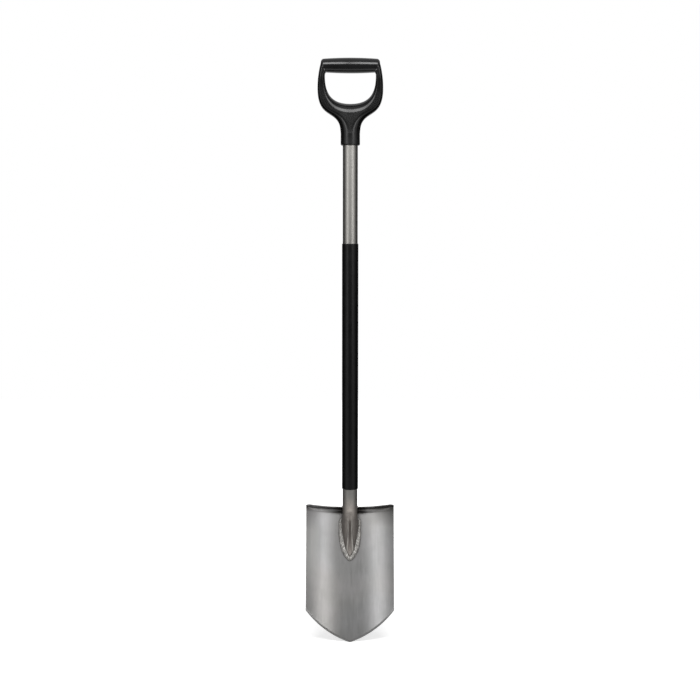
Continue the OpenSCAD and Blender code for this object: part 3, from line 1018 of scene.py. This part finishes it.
def blade_steel():
    """Pressed and hardened sheet: satin, with drawn streaks down its length, faint tints, and a darker zone
    round the tongue.
    Painted shade lies in its corners, along the welds, in and along the fold and below the right tread, and
    a painted highlight on its upper left."""
    material, tree, shader = new_material("blade_steel", metallic=1.0)
    streaks = noise(tree, scale=520, detail=4, stretch=(1, 0.05, 0.05))
    x = axis(tree, "X")
    height = axis(tree, "Z")
    aside = maths(tree, "ABSOLUTE", x)
    tint = mottle(tree, noise(tree, scale=9, detail=1), steel_tints, tint_range)
    base = mottle(tree, noise(tree, scale=22, detail=3), steel_tones)
    base = blend(tree, tint_share, base, tint, "MULTIPLY")
    base = blend(tree, spread(tree, streaks, *wide, 0, streak_share), base, streak_colour)
    # Painted shade in the blade's corners and crevices
    base = paint_corner_shade(tree, base, corner_shade_colour, distance=0.006, low=0.45, high=0.95)
    base = paint_corner_shade(tree, base, crevice_shade_colour, distance=0.0022, low=0.55, high=0.9)
    # Painted shade in the pockets of the fold beside the tube
    pocket_shade = times(tree, spread(tree, aside, *pocket_shade_aside, 1, 0), spread(tree, height, *pocket_shade_down))
    base = blend(tree, pocket_shade, base, pocket_shade_colour)
    # Darker steel round the tongue, below the fold
    tongue_dark = times(tree, spread(tree, away_from(tree, x, -tongue_dark_shift), *tongue_dark_aside, tongue_dark_share, 0),
                 spread(tree, height, *tongue_dark_down))
    base = blend(tree, tongue_dark, base, tongue_dark_colour)
    # Painted highlight on the blade's upper left
    upper_highlight = times(tree, spread(tree, x, *upper_highlight_aside, upper_highlight_share, 0), spread(tree, height, *upper_highlight_from, 1, 0),
                 spread(tree, height, *upper_highlight_to))
    base = blend(tree, upper_highlight, base, upper_highlight_colour)
    shaded = times(tree, spread(tree, x, *shade_aside, 0, shade_share), spread(tree, height, *shade_down))
    base = blend(tree, shaded, base, shade_colour)
    # Painted shade along the fold's lower edge
    base = blend(tree, fold_shade_line(tree, aside), base, fold_shade_colour)
    rough = spread(tree, streaks, *wide, to_low=0.3, to_high=0.36)
    grain = bump(tree, noise(tree, scale=1500), distance=0.00002)
    finish(tree, shader, base, rough, bump(tree, streaks, distance=0.00001, normal=grain))
    return material


def tube_coat():
    """Silver coating with a fine grain, dulled and browned by the heat of the welds low down, with a
    painted highlight on the tongue's ridges and painted shade in its corners."""
    material, tree, shader = new_material("tube_coat", metallic=1.0)
    height = axis(tree, "Z")
    fine = noise(tree, scale=2600, detail=3)
    ragged = spread(tree, noise(tree, scale=60, detail=3), *wide, -burn_ragged, burn_ragged)
    burnt = spread(tree, maths(tree, "ADD", height, ragged), *burn_down)
    dulled = spread(tree, height, *dull_down)
    base = blend(tree, dulled, mottle(tree, fine, silver_tones, wide), dull_colour)
    base = blend(tree, burnt, base, mottle(tree, noise(tree, scale=420, detail=3), brown_tones))
    ridge_x = spread(tree, height, *part_down, *(MM * v for v in ridge_apart))
    off = away_from(tree, maths(tree, "ABSOLUTE", axis(tree, "X")), ridge_x)
    # Painted highlight on the tongue's ridges
    ridge_highlight = times(tree, spread(tree, off, *ridge_highlight_off, ridge_highlight_share, 0), spread(tree, height, *ridge_highlight_from),
                 spread(tree, height, *ridge_highlight_to, 1, 0),
                 spread(tree, noise(tree, scale=300), *ridge_highlight_patches))
    base = blend(tree, ridge_highlight, base, ridge_highlight_colour)
    # Painted shade in the tube's corners
    base = paint_corner_shade(tree, base, tube_corner_shade_colour, distance=0.003, low=0.1, high=0.5)
    rough = spread(tree, dulled, 0, 1, to_low=0.42, to_high=0.6)
    finish(tree, shader, base, rough, bump(tree, fine, distance=0.000015))
    return material


def weld_metal():
    """Bright weld with painted shade in its hollows."""
    material, tree, shader = new_material("weld_metal", metallic=1.0)
    spots = noise(tree, scale=380, detail=4)
    base = mottle(tree, spots, weld_tones)
    # Painted shade in the weld's hollows
    base = paint_corner_shade(tree, base, weld_hollow_shade, distance=0.002, low=0.3, high=0.7)
    rough = spread(tree, spots, *wide, to_low=0.34, to_high=0.52)
    lumps = noise(tree, scale=900, detail=3)
    finish(tree, shader, base, rough, bump(tree, lumps, distance=0.00008))
    return material


def black_plastic(name, low, high, level, rough_range, grain_scale, grain_depth, matt=0.0, arms=1.0):
    """Black plastic with a moulded grain, a little uneven in colour and gloss. Where hands don't polish it,
    its roughness is greater by the amount given, and on the arms its shine is the share given."""
    material, tree, shader = new_material(name, metallic=0.0)
    shader.inputs["Specular IOR Level"].default_value = level
    height = axis(tree, "Z")
    if arms < 1:
        aside = maths(tree, "ABSOLUTE", axis(tree, "X"))
        faded = times(tree, spread(tree, aside, *shine_aside), spread(tree, height, *shine_down))
        feed(tree, shader.inputs["Specular IOR Level"], spread(tree, faded, 0, 1, level, level * arms))
    cloud = noise(tree, scale=35, detail=4)
    base = mottle(tree, cloud, ((low,) * 3, (high, high, high * plastic_blue)))
    rough = spread(tree, cloud, *wide, *rough_range)
    if matt > 0:
        rough = maths(tree, "ADD", rough, spread(tree, height, *polish_down, 0, matt))
    finish(tree, shader, base, rough, bump(tree, noise(tree, grain_scale), grain_depth))
    return material


def screw_zinc():
    """Zinc plating with a faint yellow tint that comes and goes."""
    material, tree, shader = new_material("screw_steel", metallic=1.0)
    cloud = noise(tree, scale=250, detail=3)
    rough = spread(tree, cloud, *wide, to_low=0.25, to_high=0.4)
    grain = noise(tree, scale=3000)
    finish(tree, shader, mottle(tree, cloud, zinc_tones), rough, bump(tree, grain, distance=0.00001))
    return material


dress(blade(), blade_steel(), "blade")
dress(shaft_tube(), tube_coat(), "shaft_tube")
weld = weld_metal()
for hand, sign in (("left", -1), ("right", 1)):
    dress(tongue_weld(hand, sign), weld, f"tongue_weld_{hand}")
    dress(tread_weld(hand, sign), weld, f"tread_weld_{hand}")
sleeve_black = black_plastic("sleeve_plastic", low=0.0012, high=0.002, level=0.11, rough_range=(0.32, 0.38),
                             grain_scale=900, grain_depth=0.00002)
handle_black = black_plastic("handle_plastic", low=0.002, high=0.0035, level=0.25, rough_range=(0.17, 0.2),
                             grain_scale=1100, grain_depth=0.00001, matt=0.14, arms=0.45)
dress(shaft_sleeve(), sleeve_black, "shaft_sleeve")
dress(d_handle(), handle_black, "d_handle")
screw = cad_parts["handle_screw"]
screw.data.materials.clear()
screw.data.materials.append(screw_zinc())


# Studio: a white world, a floor, dark flags that only reflections see, soft lamps and the camera.
# Azimuths and elevations are in degrees, seen from the front, and radiances are the lamps' brightness

sky_level = 0.35
floor_half = 12
floor_grey = 0.8
glow_reach = (0.3, 1.6)
glow_level = (0.55, 1.0)
flag_near = 0.6
flag_far = 3.2
flag_lift = 0.01
flag_steps = 24
side_flag = {"high": 1.6, "level": 0.03}
front_flag = {"high": 1.0, "level": 0.26}
side_box = {"elevation": 0, "distance": 1.7, "width": 0.5, "height": 1.3, "radiance": 3.75,
            "centre": (0, 0, -0.21)}
top_box_w = 0.75
top_box_gap = 0.04
top_box = {"azimuth": 0, "elevation": 24.5, "distance": 1.4, "width": top_box_w, "height": 0.6,
           "radiance": 15.3}
camera_place = (-0.00026, -2.49146, -0.59124)
camera_roll = -0.00094
camera_lens = 59.98
camera_sensor = 36
camera_reach = 100


def white_to_eye(tree, others):
    """1 where the camera, glossy and transmission rays look, and the strength given for all others."""
    path = add(tree, "LightPath").outputs
    seen = path["Is Camera Ray"]
    for name in ("Is Glossy Ray", "Is Transmission Ray"):
        seen = maths(tree, "MAXIMUM", seen, path[name])
    return spread(tree, seen, 0, 1, others, 1)


def studio():
    """Plain colours, and a world that is white to the eye and weaker as a light."""
    scene = bpy.context.scene
    scene.view_settings.view_transform = "Standard"
    world = bpy.data.worlds.new("studio")
    world.use_nodes = True
    scene.world = world
    background = world.node_tree.nodes["Background"]
    background.inputs["Color"].default_value = (1, 1, 1, 1)
    feed(world.node_tree, background.inputs["Strength"], white_to_eye(world.node_tree, sky_level))


def stage_mesh(name, points, faces):
    """An object of the studio, whose material has no shader yet."""
    mesh = bpy.data.meshes.new(name)
    mesh.from_pydata(points, [], faces)
    obj = new_object(name, mesh)
    material, tree, shader = new_material(name, metallic=0.0)
    tree.nodes.remove(shader)
    obj.data.materials.append(material)
    return obj


def glow(tree, strength):
    """White light of the strength given."""
    return add(tree, "Emission", {"Color": (1, 1, 1, 1), "Strength": strength}).outputs[0]


def show(tree, surface):
    """Makes a shader's output the surface of its material."""
    feed(tree, tree.nodes["Material Output"].inputs["Surface"], surface)


def floor():
    """A pale floor that is white round the spade's shadow and stays white far out."""
    z = cad_box[0].z
    corners = [(x * floor_half, y * floor_half, z) for x, y in ((-1, -1), (1, -1), (1, 1), (-1, 1))]
    tree = stage_mesh("floor", corners, [(0, 1, 2, 3)]).active_material.node_tree
    diffuse = add(tree, "BsdfDiffuse", {"Color": (floor_grey, floor_grey, floor_grey, 1)}).outputs[0]
    out = add(tree, "VectorMath", {0: place(tree, (1, 1, 0))}, operation="LENGTH").outputs["Value"]
    strength = times(tree, white_to_eye(tree, 0.0), spread(tree, out, *glow_reach, *glow_level))
    show(tree, add(tree, "AddShader", {0: diffuse, 1: glow(tree, strength)}).outputs[0])


def flag(name, from_azimuth, to_azimuth, high, level):
    """A dark screen round a side of the studio and over the floor before it, which only reflections see."""
    azimuths = np.radians(np.linspace(from_azimuth, to_azimuth, flag_steps + 1))
    low = cad_box[0].z + flag_lift
    rims = ((flag_near, low), (flag_far, low), (flag_far, high))
    points = [(radius * math.sin(a), -radius * math.cos(a), z) for radius, z in rims for a in azimuths]
    faces = grid_faces(len(rims), flag_steps + 1)
    obj = stage_mesh(name, points, faces)
    obj.visible_camera = obj.visible_diffuse = obj.visible_shadow = obj.visible_transmission = False
    tree = obj.active_material.node_tree
    show(tree, glow(tree, level))


def softbox(name, azimuth, elevation, distance, width, height, radiance, centre):
    """A soft rectangular lamp that faces a point of the spade, from a direction seen from the front."""
    a, e = math.radians(azimuth), math.radians(elevation)
    away = Vector((math.sin(a) * math.cos(e), -math.cos(a) * math.cos(e), math.sin(e)))
    data = bpy.data.lights.new(name, "AREA")
    data.shape = "RECTANGLE"
    data.size, data.size_y = width, height
    data.energy = radiance * math.pi * width * height
    obj = new_object(name, data)
    obj.location = Vector(centre) + away * distance
    obj.rotation_mode = "QUATERNION"
    obj.rotation_quaternion = (-away).to_track_quat("-Z", "Y")
    obj.visible_camera = False


def camera():
    """A camera about level with the middle of the spade, with a trace of roll."""
    data = bpy.data.cameras.new("camera")
    data.sensor_width = camera_sensor
    data.lens = camera_lens
    data.clip_end = camera_reach
    obj = new_object("camera", data)
    obj.location = camera_place
    obj.rotation_euler = (math.pi / 2, camera_roll, 0)
    bpy.context.scene.camera = obj


studio()
floor()
flag("left_flag", -155, -75, **side_flag)
flag("right_flag", 75, 155, **side_flag)
flag("front_flag", -27, 27, **front_flag)
softbox("left_box", azimuth=-42, **side_box)
softbox("right_box", azimuth=37.5, **side_box)
for hand, sign in (("left", -1), ("right", 1)):
    softbox(f"{hand}_top_box", centre=(sign * (top_box_w / 2 + top_box_gap), 0, 0), **top_box)
camera()
